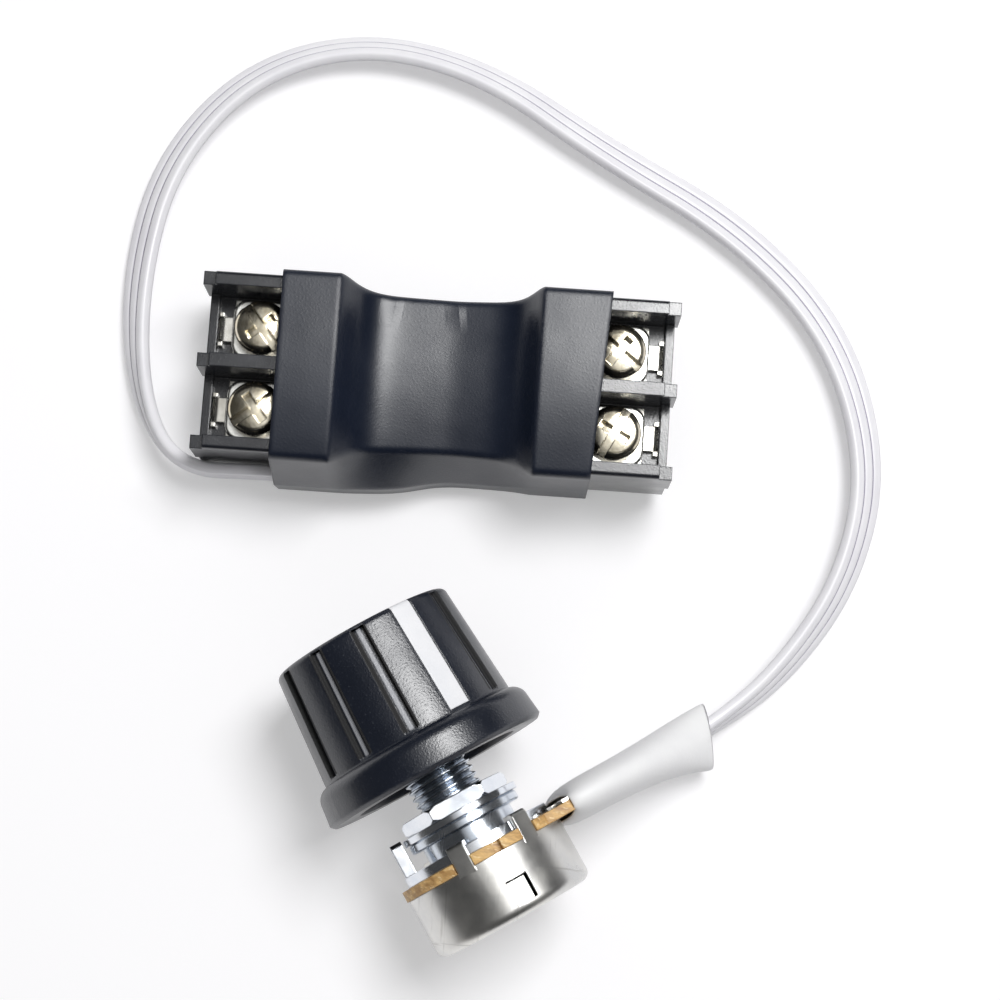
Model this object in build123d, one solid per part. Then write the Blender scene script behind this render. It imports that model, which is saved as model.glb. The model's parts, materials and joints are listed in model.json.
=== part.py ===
from build123d import *
import os
from math import cos, radians, sin, tan

# Rotary dimmer for lamp strips: a sleeved power module with a two-pole screw terminal at each
# end, and a rotary control with its knob on a flat three-core cable.
# Millimetres, +Z up. The origin is the middle of the module's underside, and +X runs along
# the module from its supply end to its lamp end.

# Power module
module_length = 48.9
board_length = 42.0
board_width = 17.2
board_thick = 1.6
board_drop = 1.0  # room for solder under the board
sleeve_wall = 0.45

# Screw terminals
pole_pitch = 8.5
partition_thick = 1.4
block_length = 13.8
block_height = 10.6
block_back_wall = 1.6
block_round = 0.4
contact_seat = 4.3  # height of the contact's seat over the moulding's base
lip_thick = 0.9
lip_rise = 1.0
partition_overhang = 0.35
partition_step = 1.3  # the lowered outer end of each partition
partition_drop = 0.7
contact_thick = 0.8
contact_width = 6.3
tongue_width = 2.6
prong_width = 0.5  # the tongue ends in a bar with two upturned prongs
prong_rise = 0.9
prong_bar = 0.4
leg_width = 1.2
leg_spread = 3.6
screw_inset = 6.0  # screw axis from the module's end
screw_d = 3.0
screw_length = 5.0
head_d = 5.6
head_height = 2.0
head_round = 0.7
drive_slot = 0.9
drive_depth = 1.0
clamp_side = 6.3
clamp_round = 1.6
clamp_thick = 0.9
screw_room = 0.7  # under and around the screw's tip
cross_share = 0.3  # cross drive's half length over the head

# Components on the board: length, width and height, and where each stands
transistor_size = (6.1, 6.6, 2.3)
transistor_at = (4.6, 1.6)
heat_tab = (1.3, 5.4)
transistor_leg = (2.2, 0.8)
transistor_leg_spread = 4.6
tab_thick = 0.5
chip_size = (4.9, 3.9, 1.6)
chip_at = (-4.6, 3.2)
chip_lift = 0.15
chip_leg_pitch = 1.27
chip_leg = (0.4, 1.0, 0.4)
chip_columns = 4
can_d = 4.0
can_height = 4.6
can_at = (-0.4, -4.6)
diode_size = (4.4, 2.6, 2.1)
diode_at = (5.2, -4.6)
diode_lift = 0.1
diode_tab = (5.2, 1.5, 0.3)
resistor_size = (3.2, 1.6, 0.6)
gate_resistor_at = (-5.2, -1.0)
timing_resistor_at = (-5.2, -3.4)
package_edge = 0.35

# Sleeve over the board
sleeve_left = -16.3
sleeve_right = 16.8
sleeve_right_slant = 3.5  # degrees
saddle_reach = 10.4  # from here to the middle the sleeve sinks between the terminals
# Along the module: the share of the sink that is reached, and the share left of the cable's bulge
saddle_steps = [
    (-9.6, 0.2, 1.0),
    (-8.5, 0.55, 0.97),
    (-6.4, 0.88, 0.9),
    (-3.2, 0.98, 0.66),
    (0.0, 1.0, 0.18),
    (3.2, 0.98, 0.0),
    (6.4, 0.88, 0.0),
    (8.6, 0.58, 0.0),
    (9.7, 0.2, 0.0),
]
waist_height = 9.4
waist_front = 7.4  # half widths of the sunk top
waist_back = 8.6
waist_base_half_width = 9.5
sleeve_corner = 0.7
sleeve_trim = 0.3  # shaved off below so that the underside is flat
bulge_height = 5.9
bulge_drop = 2.0
bulge_foot = 0.45  # the cable's bulge comes in by this at the foot
belly = 0.12

# Flat cable
core_pitch = 1.33
core_count = 3
cable_thick = 1.25
cable_width = core_pitch * core_count
lead_d = 1.0
first_pad = 2.4  # cable's end to the first core's pad
pad_pitch = 3.5
pad_inset = 1.2

# Rotary control, along its own axis from the panel seat at 0
panel_seat_d = 12.0
panel_seat_thick = 1.0
panel_seat_height = 2.6  # seat over the front plate
neck_d = 9.8
plate_d = 15.8
plate_thick = 1.05
spigot_d = 9.0
lug_width = 1.8
lug_thick = 1.2
lug_height = 3.5
lug_radius = 7.1
lug_angle = -8.0
wafer_d = 17.4
wafer_thick = 1.1
wafer_tongue_side = 0.1  # tongue past the outer tags, on each side
wafer_tongue_reach = 10.6
cup_d = 17.0
cup_depth = 6.5
cup_wall = 0.5
cup_edge_round = 1.0
ear_width = 1.8
ear_angle = 25.0
ear_fold = 1.5
stop_width = 2.0
stop_window = 2.5
stop_reach = 6.2
stop_sink = 0.3  # the pressed-in tab under the cup's face
stop_slit = 0.3
thread_d = 7.0
thread_length = 7.0
thread_entry = 0.5
washer_d = 12.6
washer_thick = 0.7
nut_flats = 10.0
nut_thick = 1.5
nut_roll = 3.5
nut_ease = 0.35
shaft_d = 6.0
shaft_length = 15.0
shaft_ease = 0.4
shaft_tail_d = 4.0
spline_length = 6.8
spline_count = 18
spline_depth = 0.22
split_width = 1.0
split_depth = 5.0
clip_d = 8.4
clip_thick = 0.5
clip_groove = 0.4
rotor_d = 11.2
rotor_thick = 4.2
rotor_lug_width = 4.1
rotor_lug_reach = 7.2
track_outer_d = 14.0
track_inner_d = 10.6
track_thick = 0.1
collector_outer_d = 8.8
collector_inner_d = 6.9
collector_thick = 0.15
track_open_angle = 60.0
wiper_thick = 0.25
wiper_width = 1.4
terminal_pitch = 5.0
terminal_width = 2.2
terminal_thick = 0.4
terminal_reach = 13.6
terminal_tip_width = 1.4
rivet_d = 1.3
wafer_tongue_width = 2 * terminal_pitch + terminal_width + 2 * wafer_tongue_side

# Knob
skirt_d = 23.8
skirt_height = 4.0
skirt_round = 1.5
skirt_chamfer = 0.4
grip_base_d = 20.8
grip_top_d = 19.0
knob_height = 16.2
knob_gap = 5.05  # panel seat to the skirt's underside
knob_edge_round = 0.6
knob_dome = 0.2
knob_wall = 1.7
hub_d = 10.4
hub_recess = 2.9  # skirt's underside to the hub
groove_count = 12
groove_width = 1.3
groove_depth = 0.45
groove_clear = 0.3  # groove's foot over the skirt
pointer_width = 2.3
pointer_thick = 0.6
pointer_start = 5.0  # from the knob's axis

# Clearances
slip = 0.05  # a running fit, on the radius
seat_gap = 0.1
sleeve_gap = 0.12

# Where the control lies
control_x = 2.9  # middle of the skirt's underside
control_y = -40.1
control_heading = -57.2  # degrees, knob to cup, seen from above
control_tilt = 0.0  # degrees, knob's end up
body_roll = 11.5
pointer_roll = 29.5

# White sleeve over the control's terminals
tail_wall = 0.4
tail_start = wafer_d / 2 + 3 * seat_gap
tail_over = 0.9  # sleeve past the tongue and past the outer tags, on each side
waist_over = 1.8  # sleeve past the outer cores, halfway to the cable
tail_root = (wafer_tongue_width + 2 * tail_over, 4.2)
tail_tags = (2 * terminal_pitch + terminal_tip_width + 2 * tail_over, 3.6)
tail_waist = (terminal_pitch + 2 * waist_over, 3.4)
tail_end = (5.6, 5.0)
tail_end_point = (30.6, -33.2, 2.9)

# The cable's route, between the board's leads and the control's leads
cable_route = [
    (-9.8, -9.98, 5.2),
    (-17.6, -9.98, 5.1),
    (-26.6, -10.2, 4.6),
    (-31.6, -2.4, 3.4),
    (-33.2, 10.2, 2.3),
    (-31.0, 23.3, 2.3),
    (-23.0, 33.8, 2.3),
    (-11.0, 38.2, 2.3),
    (2.5, 35.8, 2.3),
    (16.0, 27.6, 2.3),
    (30.5, 20.3, 2.3),
    (41.5, 9.8, 2.3),
    (46.2, -4.0, 2.3),
    (44.3, -16.5, 2.3),
    (37.8, -27.0, 2.3),
    (30.2, -33.5, 2.9),
    (25.4, -36.5, 4.7),
]

# Levels and reaches worked out from these
board_bottom = sleeve_wall + board_drop
board_top = board_bottom + board_thick
block_top = board_top + block_height
contact_floor = board_top + contact_seat
contact_top = contact_floor + contact_thick
clamp_top = contact_top + clamp_thick
module_end = module_length / 2
block_inner = module_end - block_length
block_half = pole_pitch + partition_thick / 2
screw_x = module_end - screw_inset
pocket_width = pole_pitch - partition_thick
plate_back = -panel_seat_height - plate_thick
wafer_back = plate_back - wafer_thick
cup_back = wafer_back - cup_depth
cup_inside = cup_back + cup_wall
rotor_back = cup_inside + seat_gap
rotor_front = rotor_back + rotor_thick
knob_top = knob_gap + knob_height
hub_bottom = knob_gap + hub_recess

# The control lies on its skirt, and its stiff sleeve and cable hold the cup off the surface
heading = radians(control_heading)
tilt = radians(control_tilt)
knob_axis = Vector(-cos(heading) * cos(tilt), -sin(heading) * cos(tilt), sin(tilt))
control_up = Vector(cos(heading) * sin(tilt), sin(heading) * sin(tilt), cos(tilt))
skirt_level = skirt_d / 2 * cos(tilt) - skirt_chamfer * sin(tilt)
seat_point = Vector(control_x, control_y, skirt_level) - knob_axis * knob_gap
control_frame = Plane(origin=seat_point, x_dir=control_up.cross(knob_axis), z_dir=knob_axis)
control_place = control_frame.location
body_place = control_place * Location((0, 0, 0), (0, 0, body_roll))
pointer_place = control_place * Location((0, 0, 0), (0, 0, pointer_roll))


def ring(outer_d, inner_d, bottom, top):
    """A flat ring about the Z axis."""
    blank = Cylinder(outer_d / 2, top - bottom, align=(Align.CENTER, Align.CENTER, Align.MIN))
    hole = Cylinder(inner_d / 2, top - bottom, align=(Align.CENTER, Align.CENTER, Align.MIN))
    return Pos(0, 0, bottom) * (blank - hole)


def disc(d, bottom, top):
    """A plain cylinder about the Z axis."""
    return Pos(0, 0, bottom) * Cylinder(d / 2, top - bottom, align=(Align.CENTER, Align.CENTER, Align.MIN))


def slab(x0, x1, y0, y1, z0, z1):
    """A box from its limits."""
    return Pos((x0 + x1) / 2, (y0 + y1) / 2, (z0 + z1) / 2) * Box(x1 - x0, y1 - y0, z1 - z0)


def turned(points):
    """A solid turned about the Z axis from (radius, height) points."""
    profile = make_face(Polyline([(r, 0, z) for r, z in points], close=True))
    return revolve(profile, Axis.Z)


def rod(start, end, d):
    """A round bar between two points."""
    line = Vector(*end) - Vector(*start)
    frame = Plane(origin=start, z_dir=line)
    return frame.location * Cylinder(d / 2, line.length, align=(Align.CENTER, Align.CENTER, Align.MIN))


def pole_centres():
    return [pole_pitch / 2, -pole_pitch / 2]


# Terminals, drawn at the +X end


def terminal_body():
    """Moulding with a base, three partitions, a back wall and a low lip at the wire side."""
    outer = module_end - partition_overhang
    base = slab(block_inner, outer, -block_half, block_half, board_top, contact_floor)
    back = slab(block_inner, block_inner + block_back_wall, -block_half, block_half, contact_floor, block_top)
    lip = slab(outer - lip_thick, outer, -block_half, block_half, contact_floor, contact_floor + lip_rise)
    body = base + back + lip
    for y in (-pole_pitch, 0, pole_pitch):
        half = partition_thick / 2
        body += slab(block_inner, module_end - partition_step, y - half, y + half, contact_floor, block_top)
        body += slab(module_end - partition_step, module_end, y - half, y + half, contact_floor,
                     block_top - partition_drop)
    long_edges = body.edges().filter_by(Axis.X).group_by(Axis.Z)[-1]
    rims = [e for e in long_edges if abs(e.center().Y) > block_half - partition_thick / 4]
    body = fillet(rims, block_round)
    for y in pole_centres():
        tip_room = screw_length - clamp_thick - contact_thick + screw_room
        well = disc(screw_d + screw_room, contact_floor - tip_room, contact_floor)
        body -= Pos(screw_x, y, 0) * well
        for side in (-1, 1):
            leg_y = y + side * leg_spread / 2
            half = leg_width / 2 + seat_gap
            x = block_inner + block_back_wall + seat_gap
            room = slab(x - seat_gap, x + contact_thick + seat_gap, leg_y - half, leg_y + half,
                        board_top, contact_floor)
            body -= room
    return body


def contact(y):
    """Stamped plate with a tapped hole, a pronged tongue at the wire side and two solder legs."""
    x0 = block_inner + block_back_wall + seat_gap
    x1 = module_end - partition_overhang - lip_thick - seat_gap
    neck = screw_x + clamp_side / 2 - seat_gap
    half = contact_width / 2
    plate = slab(x0, neck, y - half, y + half, contact_floor, contact_top)
    tongue = slab(neck, x1, y - tongue_width / 2, y + tongue_width / 2, contact_floor, contact_top)
    upper_end = tongue.edges().filter_by(Axis.Y).group_by(Axis.X)[-1].sort_by(Axis.Z)[-1]
    piece = plate + fillet(upper_end, contact_thick * 0.8)
    reach = tongue_width / 2 + prong_width
    x2 = x1 - prong_width
    piece += slab(x2, x1, y - reach, y + reach, contact_floor, contact_floor + prong_bar)
    for side in (-1, 1):
        prong_y = y + side * (reach - prong_width / 2)
        half_prong = prong_width / 2
        piece += slab(x2, x1, prong_y - half_prong, prong_y + half_prong, contact_floor,
                      contact_floor + prong_rise)
    for side in (-1, 1):
        leg_y = y + side * leg_spread / 2
        piece += slab(x0, x0 + contact_thick, leg_y - leg_width / 2, leg_y + leg_width / 2,
                      sleeve_wall + board_drop / 2, contact_floor)
    return piece - Pos(screw_x, y, 0) * disc(screw_d + 2 * slip, contact_floor, contact_top)


def clamp_plate(y):
    """Rounded square plate that the screw's head presses on the wire."""
    outline = RectangleRounded(clamp_side, clamp_side, clamp_round)
    plate = extrude(outline, clamp_thick)
    plate = fillet(plate.edges().group_by(Axis.Z)[-1], clamp_thick * 0.35)
    plate -= disc(screw_d + 2 * slip, 0, clamp_thick)
    return Pos(screw_x, y, contact_top) * plate


def terminal_screw(y, turn):
    """Pan-head screw with a cross drive and one long slot."""
    head = disc(head_d, 0, head_height)
    head = fillet(head.edges().group_by(Axis.Z)[-1], head_round)
    shank = disc(screw_d, -screw_length, 0)
    shank = chamfer(shank.edges().group_by(Axis.Z)[0], screw_d * 0.1)
    screw = head + shank
    floor = head_height - drive_depth
    screw -= slab(-head_d, head_d, -drive_slot / 2, drive_slot / 2, floor, head_height)
    cross = head_d * cross_share
    screw -= slab(-drive_slot / 2, drive_slot / 2, -cross, cross, floor, head_height)
    return Pos(screw_x, y, clamp_top) * Rot(0, 0, turn) * screw


def other_end(shape):
    """The same piece at the module's supply end."""
    return Rot(0, 0, 180) * shape


# Board and its components


def circuit_board():
    """Bare board with a hole for each solder leg of the terminals."""
    board = Pos(0, 0, (board_bottom + board_top) / 2) * Box(board_length, board_width, board_thick)
    leg_x = block_inner + block_back_wall + seat_gap + contact_thick / 2
    hole_x = contact_thick / 2 + seat_gap
    hole_y = leg_width / 2 + seat_gap
    hole = slab(-hole_x, hole_x, -hole_y, hole_y, board_bottom, board_top)
    for end in (-1, 1):
        for y in pole_centres():
            for side in (-1, 1):
                board -= Pos(end * leg_x, y + side * leg_spread / 2, 0) * hole
    return board


def package(size, lift):
    """A moulded block on the board with its upper edges eased."""
    length, width, height = size
    block = slab(-length / 2, length / 2, -width / 2, width / 2, board_top + lift, board_top + lift + height)
    return chamfer(block.edges().group_by(Axis.Z)[-1], package_edge)


def switching_transistor():
    """Flat power package with a heat tab and two legs."""
    end = transistor_size[0] / 2
    piece = package(transistor_size, 0)
    tab_half = heat_tab[1] / 2
    tab_top = board_top + tab_thick
    piece += slab(end, end + heat_tab[0], -tab_half, tab_half, board_top, tab_top)
    leg_half = transistor_leg[1] / 2
    for y in (-transistor_leg_spread / 2, transistor_leg_spread / 2):
        piece += slab(-end - transistor_leg[0], -end, y - leg_half, y + leg_half, board_top, tab_top)
    return Pos(*transistor_at, 0) * piece


def timer_chip():
    """Eight-leg chip that makes the switching pulses."""
    piece = package(chip_size, chip_lift)
    half = chip_leg[0] / 2
    reach = chip_size[1] / 2 + chip_leg[1]
    for column in range(chip_columns):
        x = (column - (chip_columns - 1) / 2) * chip_leg_pitch
        piece += slab(x - half, x + half, -reach, reach, board_top, board_top + chip_leg[2])
    return Pos(*chip_at, 0) * piece


def capacitor():
    """Small upright can."""
    can = disc(can_d, board_top, board_top + can_height)
    return Pos(*can_at, 0) * fillet(can.edges().group_by(Axis.Z)[-1], package_edge)


def diode():
    """Moulded two-lead block."""
    length, width, thick = diode_tab
    tabs = slab(-length / 2, length / 2, -width / 2, width / 2, board_top, board_top + thick)
    return Pos(*diode_at, 0) * (package(diode_size, diode_lift) + tabs)


def resistor(place):
    """Flat chip with a metal cap at each end."""
    length, width, height = resistor_size
    return Pos(*place, board_top + height / 2) * Box(length, width, height)


# Black sleeve: a thin tube that bears on both terminals and sinks in between them


def sleeve_section(x, sink, hold, inset):
    """Section across the sleeve at x, for a share of the sink and of the cable's bulge."""
    side = block_half + sleeve_gap + sleeve_wall
    top = block_top + sleeve_gap + sleeve_wall
    cable_side = block_half + 3 * sleeve_gap + cable_thick + seat_gap + sleeve_wall
    height = top - (top - waist_height) * sink
    front_shoulder = side - (side - waist_front) * sink
    back_shoulder = side - (side - waist_back) * sink
    base = side - (side - waist_base_half_width) * sink
    front = base + (cable_side - base) * hold
    low = inset * (1 + sleeve_trim / sleeve_wall) - sleeve_trim
    belly_height = bulge_height - bulge_drop * sink
    points = [
        (-front + bulge_foot * hold + inset, low),
        (-front - belly * (1 - hold) + inset, belly_height + bulge_drop * sink * hold),
        (-front_shoulder + inset, height - inset),
        (back_shoulder - inset, height - inset),
        (base + belly - inset, belly_height),
        (base - inset, low),
    ]
    outline = make_face(Plane.YZ * Polyline(points, close=True))
    return Pos(x, 0, 0) * fillet(outline.vertices(), sleeve_corner - inset)


def sleeve_solid(inset, reach):
    """The sleeve filled up: a straight run over each terminal and the sunk saddle between them."""
    left = sleeve_section(-saddle_reach, 0, 1, inset)
    right = sleeve_section(saddle_reach, 0, 0, inset)
    sections = [left] + [sleeve_section(*step, inset) for step in saddle_steps] + [right]
    saddle = loft(sections)
    left_run = extrude(left, saddle_reach + sleeve_left - reach, dir=(1, 0, 0))
    right_run = extrude(right, sleeve_right + reach - saddle_reach, dir=(1, 0, 0))
    return left_run + saddle + right_run


def black_sleeve():
    """Shrunk tube, cut square at one end and a little askew at the other."""
    reach = sleeve_corner * 3
    tube = sleeve_solid(0, reach) - sleeve_solid(sleeve_wall, 2 * reach)
    big = 4 * module_length
    tube = tube & slab(sleeve_left, big, -big, big, 0, big)
    end = Pos(sleeve_right, 0, 0) * Rot(0, 0, -sleeve_right_slant)
    return tube - end * slab(0, big, -big, big, -big, big)


# Rotary control, drawn about its own axis with its terminals towards -X


def ear_places():
    """The four folded ears of the cup, two on each side of the terminals' row."""
    return [90 - ear_angle, 90 + ear_angle, 270 - ear_angle, 270 + ear_angle]


def rear_cup():
    """Drawn cup with four folded ears, a terminal opening and an end stop pressed inwards."""
    shell = disc(cup_d, cup_back, wafer_back)
    shell = fillet(shell.edges().group_by(Axis.Z)[0], cup_edge_round)
    hollow = disc(cup_d - 2 * cup_wall, cup_inside, wafer_back)
    hollow = fillet(hollow.edges().group_by(Axis.Z)[0], cup_edge_round - cup_wall / 2)
    cup = shell - hollow
    outer = cup_d / 2
    inner = outer - cup_wall
    fold_bottom = -panel_seat_height
    for angle in ear_places():
        half = ear_width / 2
        rise = slab(inner, outer, -half, half, wafer_back - cup_wall, fold_bottom + cup_wall)
        fold = slab(outer - ear_fold, outer, -half, half, fold_bottom, fold_bottom + cup_wall)
        ear = rise + fold
        bend = ear.edges().filter_by(Axis.Y).sort_by(lambda e: e.center().X + e.center().Z)[-1]
        cup += Rot(0, 0, angle) * fillet(bend, cup_wall * 0.9)
    window_bottom = cup_inside + seat_gap + cup_wall
    window_top = window_bottom + stop_window
    half = stop_width / 2
    cup -= slab(-half - stop_slit, half, inner - cup_wall, outer + cup_wall, window_bottom, window_top)
    cup += slab(-half, half, stop_reach, outer - stop_sink, window_bottom - cup_wall, window_top - stop_slit / 2)
    return body_place * cup


def wafer():
    """Round phenolic plate with notches for the ears and a tongue for the terminals."""
    plate = disc(wafer_d, wafer_back, plate_back)
    half = wafer_tongue_width / 2
    plate += slab(-wafer_tongue_reach, 0, -half, half, wafer_back, plate_back)
    depth = cup_d / 2 - cup_wall - seat_gap
    for angle in ear_places():
        plate -= Rot(0, 0, angle) * slab(depth, wafer_d, -ear_width / 2 - seat_gap, ear_width / 2 + seat_gap,
                                         wafer_back, plate_back)
    plate -= slab(-ear_width / 4, ear_width / 4, depth, wafer_d, wafer_back, plate_back)
    plate -= disc(shaft_d + 4 * slip, wafer_back, plate_back)
    for row in (-1, 0, 1):
        plate -= Pos(-rivet_x(), row * terminal_pitch, 0) * disc(rivet_d + 2 * slip, wafer_back, plate_back)
    return body_place * plate


def rivet_x():
    """Distance of the terminals' rivets from the control's axis."""
    return wafer_d / 2 + terminal_width / 2 - slip


def resistive_track():
    """Open carbon ring printed on the wafer's back."""
    track = ring(track_outer_d, track_inner_d, wafer_back - track_thick, wafer_back)
    return body_place * (track - open_wedge(track_outer_d, track_open_angle))


def open_wedge(d, angle):
    """A wedge towards the terminals, as wide as the angle, taller than any ring it cuts."""
    side = d * tan(radians(angle / 2))
    tall = cup_depth + shaft_length
    corner = make_face(Polyline((0, 0), (-d, side), (-d, -side), close=True))
    return Pos(0, 0, -tall) * extrude(corner, 2 * tall)


def collector_ring():
    """Inner ring that carries the wiper's signal out."""
    return body_place * ring(collector_outer_d, collector_inner_d, wafer_back - collector_thick, wafer_back)


def control_terminal(row):
    """Flat solder tag riveted to the wafer's tongue."""
    y = row * terminal_pitch
    half = terminal_width / 2
    tip = terminal_tip_width / 2
    root = plate_d / 2 + 4 * seat_gap
    top = plate_back + terminal_thick
    tag = slab(-wafer_tongue_reach, -root, y - half, y + half, plate_back, top)
    tag += slab(-terminal_reach, -wafer_tongue_reach, y - tip, y + tip, plate_back, top)
    tag += Pos(-rivet_x(), y, 0) * disc(rivet_d, wafer_back, plate_back)
    return body_place * tag


def front_plate():
    """Steel plate that carries the bushing, with a lug that keys it to a panel."""
    plate = ring(plate_d, spigot_d + 2 * slip, plate_back, -panel_seat_height)
    depth = cup_d / 2 - cup_wall - seat_gap
    for angle in ear_places():
        plate -= Rot(0, 0, angle) * slab(depth, plate_d, -ear_width / 2, ear_width / 2, plate_back, 0)
    lug = slab(lug_radius - lug_thick / 2, lug_radius + lug_thick / 2, -lug_width / 2, lug_width / 2,
               -panel_seat_height, lug_height - panel_seat_height)
    lug = fillet(lug.edges().filter_by(Axis.X).group_by(Axis.Z)[-1], lug_width * 0.3)
    return body_place * (plate + Rot(0, 0, lug_angle) * lug)


def threaded_bushing():
    """Turned bushing with a flanged panel seat, a spigot staked in the plate and the thread."""
    bore = shaft_d / 2 + slip
    body = turned([
        (bore, plate_back),
        (spigot_d / 2, plate_back),
        (spigot_d / 2, -panel_seat_height),
        (neck_d / 2, -panel_seat_height),
        (neck_d / 2, -panel_seat_thick),
        (panel_seat_d / 2, -panel_seat_thick),
        (panel_seat_d / 2, 0),
        (thread_d / 2, 0),
        (thread_d / 2, thread_length - thread_entry),
        (thread_d / 2 - thread_entry, thread_length),
        (bore, thread_length),
    ])
    return control_place * body


def panel_washer():
    return control_place * ring(washer_d, thread_d + 2 * slip, 0, washer_thick)


def panel_nut():
    """Thin hexagon nut with its corners turned off."""
    corner_d = nut_flats / cos(radians(30))
    blank = extrude(RegularPolygon(corner_d / 2, 6), nut_thick)
    ease = nut_ease
    cone = turned([(0, 0), (corner_d / 2 - ease, 0), (corner_d / 2, ease), (corner_d / 2, nut_thick - ease),
                   (corner_d / 2 - ease, nut_thick), (0, nut_thick)])
    nut = (blank & cone) - disc(thread_d + 2 * slip, 0, nut_thick)
    return control_place * Pos(0, 0, washer_thick) * Rot(0, 0, nut_roll) * nut


def shaft():
    """Six-millimetre shaft with a tail for the rotor, a clip groove and a split splined end."""
    groove_floor = thread_length + seat_gap / 2
    ease = shaft_ease
    r = shaft_d / 2
    spline_bottom = shaft_length - spline_length
    core = turned([
        (0, rotor_back),
        (shaft_tail_d / 2, rotor_back),
        (shaft_tail_d / 2, rotor_front),
        (r, rotor_front),
        (r, groove_floor),
        (r - clip_groove, groove_floor),
        (r - clip_groove, groove_floor + clip_thick + seat_gap),
        (r, groove_floor + clip_thick + seat_gap),
        (r, shaft_length - ease),
        (r - ease, shaft_length),
        (0, shaft_length),
    ])
    flank = spline_depth * 1.6
    outer = r + spline_depth
    corner = make_face(Polyline((r - spline_depth, 0), (outer, flank), (outer, -flank), close=True))
    notch = extrude(corner, spline_length)
    for tooth in range(spline_count):
        core -= Rot(0, 0, tooth * 360 / spline_count) * Pos(0, 0, spline_bottom) * notch
    half = split_width / 2
    core -= slab(-shaft_d, shaft_d, -half, half, shaft_length - split_depth, shaft_length)
    return pointer_place * core


def shaft_clip():
    """Open ring that keeps the shaft in the bushing."""
    bottom = thread_length + seat_gap
    clip = ring(clip_d, shaft_d - 2 * clip_groove + 2 * slip, bottom, bottom + clip_thick)
    return pointer_place * (clip - open_wedge(clip_d, track_open_angle))


def rotor():
    """Moulded rotor on the shaft's tail, with the lug that meets the end stop."""
    body = disc(rotor_d, rotor_back, rotor_front) - disc(shaft_tail_d + 2 * slip, rotor_back, rotor_front)
    lug = slab(0, rotor_lug_width, 0, rotor_lug_reach, rotor_back, rotor_back + rotor_thick / 3)
    lug = Pos(-rotor_lug_width / 2, 0, 0) * lug
    body += lug - disc(rotor_d - 2 * cup_wall, rotor_back, rotor_front)
    return pointer_place * Rot(0, 0, -90) * body


def wiper():
    """Spring plate on the rotor with one finger on the track and one on the collector."""
    top = rotor_front + wiper_thick
    plate = ring(rotor_d - 2 * wiper_thick, shaft_d + 4 * slip, rotor_front, top)
    track_r = (track_outer_d + track_inner_d) / 4
    collector_r = (collector_outer_d + collector_inner_d) / 4
    half = wiper_width / 2
    reach = rotor_d / 2 - wiper_thick
    plate += slab(reach - half, track_r + half, -half, half, rotor_front, top)
    plate += slab(track_r - half, track_r + half, -half, half, top, wafer_back - track_thick - slip)
    plate += slab(-collector_r - half / 2, -collector_r + half / 2, -half, half, top,
                  wafer_back - collector_thick - slip)
    return pointer_place * Rot(0, 0, 90) * plate


# Knob


def grip_solid(inset):
    """The grip with its domed top and rounded top edge, whole or moved in."""
    base = grip_base_d / 2 - inset
    rim = grip_top_d / 2 - inset
    crown = knob_top - inset
    edge = crown - knob_dome
    foot = knob_gap + skirt_height
    side = Polyline((0, crown), (0, knob_gap), (base, knob_gap), (base, foot), (rim, edge))
    top = ThreePointArc((rim, edge), (rim / 2, edge + knob_dome * 0.75), (0, crown))
    profile = make_face([side, top])
    corner = profile.vertices().sort_by(lambda v: v.X + v.Y)[-1]
    profile = fillet(corner, knob_edge_round - inset * 0.8)
    return revolve(Plane.XZ * profile, Axis.Z)


def knob_blank():
    """Grip and rounded skirt before anything is cut."""
    r = skirt_d / 2
    top = knob_gap + skirt_height
    skirt = turned([(0, knob_gap), (r - skirt_chamfer, knob_gap), (r, knob_gap + skirt_chamfer),
                    (r - skirt_chamfer, top), (0, top)])
    skirt = fillet(skirt.edges().group_by(Axis.Z)[-1], skirt_round)
    return grip_solid(0) + skirt


def radial_bars(width, count, first):
    """Flat bars from the axis outwards, one for each step of a full turn from the first on."""
    bars = []
    floor = knob_gap + skirt_height + groove_clear
    for step in range(first, count):
        bar = slab(-width / 2, width / 2, pointer_start, skirt_d, floor, knob_top + knob_edge_round)
        bars.append(Rot(0, 0, step * 360 / count) * bar)
    return bars


def knob():
    """Hollow moulded knob with a splined hub, grip grooves and a slot for its pointer."""
    body = knob_blank()
    roof = knob_top - knob_dome - knob_wall
    cavity = turned([(hub_d / 2, knob_gap), (grip_base_d / 2 - knob_wall, knob_gap),
                     (grip_top_d / 2 - knob_wall, roof), (hub_d / 2, roof)])
    body -= cavity
    body -= disc(hub_d, knob_gap, hub_bottom)
    body -= disc(shaft_d + 2 * slip, hub_bottom, shaft_length + seat_gap)
    groove_skin = grip_solid(0) - grip_solid(groove_depth)
    side_only = knob_top - knob_dome - knob_edge_round / 2
    for bar in radial_bars(groove_width, groove_count, 1):
        body -= (groove_skin & bar) & disc(2 * skirt_d, knob_gap, side_only)
    slot = grip_solid(0) - grip_solid(pointer_thick)
    body -= slot & radial_bars(pointer_width + slip, 1, 0)[0]
    return pointer_place * body


def knob_pointer():
    """White stripe let into the grip and its top edge."""
    skin = grip_solid(0) - grip_solid(pointer_thick - slip)
    return pointer_place * (skin & radial_bars(pointer_width - slip, 1, 0)[0])


# Cable and leads


def route_radii():
    """The largest tangent arcs that the route's runs allow, one for each inner point."""
    radii = []
    for a, b, c in zip(cable_route, cable_route[1:], cable_route[2:]):
        arrive = Vector(*b) - Vector(*a)
        leave = Vector(*c) - Vector(*b)
        turn = radians(arrive.get_angle(leave))
        radii.append(0.45 * min(arrive.length, leave.length) / tan(turn / 2))
    return radii


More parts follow.
